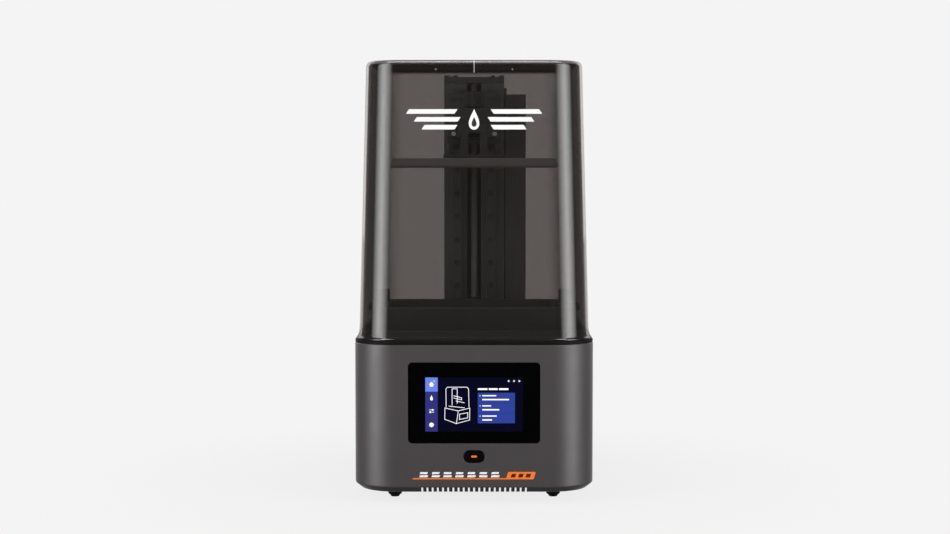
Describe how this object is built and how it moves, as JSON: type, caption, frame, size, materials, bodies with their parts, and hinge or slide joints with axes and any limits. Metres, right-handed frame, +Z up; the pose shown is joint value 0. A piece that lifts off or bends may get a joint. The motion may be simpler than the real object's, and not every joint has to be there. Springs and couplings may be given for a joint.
{
  "type": "resin printer",
  "caption": "Desktop resin printer: grey base with a touch panel, tinted lift-off cover, resin vat, and a build plate on a screw-driven column.",
  "frame": {"origin": "on the floor, under the middle of the base", "axes": "+Z up the column, -Y out of the front with the touch panel, +X to the front panel's right"},
  "size_m": [0.236, 0.238, 0.432],
  "materials": {
    "grey_shell": "satin",
    "tinted_cover": "gloss",
    "black_plastic": "matte",
    "panel_glass": "gloss",
    "screen_glass": "gloss",
    "dark_anodised": "satin",
    "bare_aluminium": "satin",
    "dark_sheet_metal": "satin",
    "steel": "satin",
    "motor_body": "satin",
    "brass": "satin",
    "rubber": "matte",
    "circuit_board": "satin",
    "clear_film": "gloss",
    "orange_light": "gloss"
  },
  "bodies": {
    "base": {"base_shell": "grey_shell", "bottom_plate": "dark_sheet_metal", "top_deck": "black_plastic", "cover_gasket": "rubber", "front_left_foot": "rubber", "front_right_foot": "rubber", "rear_left_foot": "rubber", "rear_right_foot": "rubber", "touch_glass": "panel_glass", "touch_display": "black_plastic", "display_board": "circuit_board", "button_board": "circuit_board", "rocker_housing": "black_plastic", "power_jack": "black_plastic", "usb_shell": "steel", "usb_tongue": "black_plastic", "light_hood": "black_plastic", "collimating_lens": "clear_film", "led_board": "bare_aluminium", "heat_sink": "bare_aluminium", "lamp_fan_frame": "black_plastic", "main_board": "circuit_board", "exhaust_fan_frame": "black_plastic", "exposure_screen": "screen_glass", "screen_frame": "black_plastic", "z_column": "dark_anodised", "column_cap": "dark_anodised", "screw_bearing": "steel", "side_duct": "dark_anodised", "left_rail": "steel", "right_rail": "steel", "limit_sensor": "black_plastic", "z_motor": "motor_body"},
    "cover": {"tinted_cover": "tinted_cover"},
    "vat": {"vat_body": "dark_anodised", "film_frame": "bare_aluminium", "release_film": "clear_film"},
    "left_vat_screw": {"left_vat_screw": "steel"},
    "right_vat_screw": {"right_vat_screw": "steel"},
    "carriage": {"carriage_plate": "dark_anodised", "lead_nut": "brass", "left_rail_block": "steel", "right_rail_block": "steel", "limit_flag": "bare_aluminium", "cantilever_arm": "dark_anodised"},
    "platform_knob": {"platform_knob": "black_plastic"},
    "platform": {"build_plate": "dark_anodised", "platform_bracket": "dark_anodised", "levelling_screw_1": "steel", "levelling_screw_2": "steel", "levelling_screw_3": "steel", "levelling_screw_4": "steel"},
    "screw": {"lead_screw": "steel", "shaft_coupling": "bare_aluminium", "motor_shaft": "steel"},
    "power_button": {"power_button": "black_plastic", "button_light": "orange_light"},
    "power_rocker": {"power_rocker": "black_plastic"},
    "lamp_fan": {"lamp_fan_rotor": "black_plastic"},
    "exhaust_fan": {"exhaust_fan_rotor": "black_plastic"}
  },
  "joints": [
    {"name": "cover_lift", "type": "slide", "parent": "base", "child": "cover", "axis": [0, 0, 1], "range_m": [0, 0.28]},
    {"name": "z_travel", "type": "slide", "parent": "base", "child": "carriage", "axis": [0, 0, 1], "range_m": [-0.1655, 0.004]},
    {"name": "screw_turn", "type": "hinge", "parent": "base", "child": "screw", "pos_m": [0, 0.0855, 0.18], "axis": [0, 0, 1], "range_deg": [-7460, 190]},
    {"name": "platform_release", "type": "slide", "parent": "carriage", "child": "platform", "axis": [0, -1, 0], "range_m": [0, 0.035]},
    {"name": "platform_knob_turn", "type": "hinge", "parent": "carriage", "child": "platform_knob", "pos_m": [0, -0.012, 0.39], "axis": [0, 0, 1], "range_deg": [0, 720]},
    {"name": "vat_lift", "type": "slide", "parent": "base", "child": "vat", "axis": [0, 0, 1], "range_m": [0, 0.045]},
    {"name": "left_vat_screw_turn", "type": "hinge", "parent": "vat", "child": "left_vat_screw", "pos_m": [-0.0945, -0.012, 0.19], "axis": [0, 0, 1], "range_deg": [0, 1080]},
    {"name": "right_vat_screw_turn", "type": "hinge", "parent": "vat", "child": "right_vat_screw", "pos_m": [0.0945, -0.012, 0.19], "axis": [0, 0, 1], "range_deg": [0, 1080]},
    {"name": "power_button_press", "type": "slide", "parent": "base", "child": "power_button", "axis": [0, 1, 0], "range_m": [0, 0.0012], "stiffness_N_per_m": 400},
    {"name": "power_rocker_tilt", "type": "hinge", "parent": "base", "child": "power_rocker", "pos_m": [0.046, 0.113, 0.046], "axis": [0, 0, 1], "range_deg": [0, 24]},
    {"name": "lamp_fan_spin", "type": "hinge", "parent": "base", "child": "lamp_fan", "pos_m": [0, -0.012, 0.068], "axis": [0, 0, 1], "continuous": true},
    {"name": "exhaust_fan_spin", "type": "hinge", "parent": "base", "child": "exhaust_fan", "pos_m": [-0.04, 0.108, 0.084], "axis": [0, 1, 0], "continuous": true}
  ],
  "couplings": [
    {"joint": "screw_turn", "follows": "z_travel", "rad_per_m": 785.4}
  ]
}
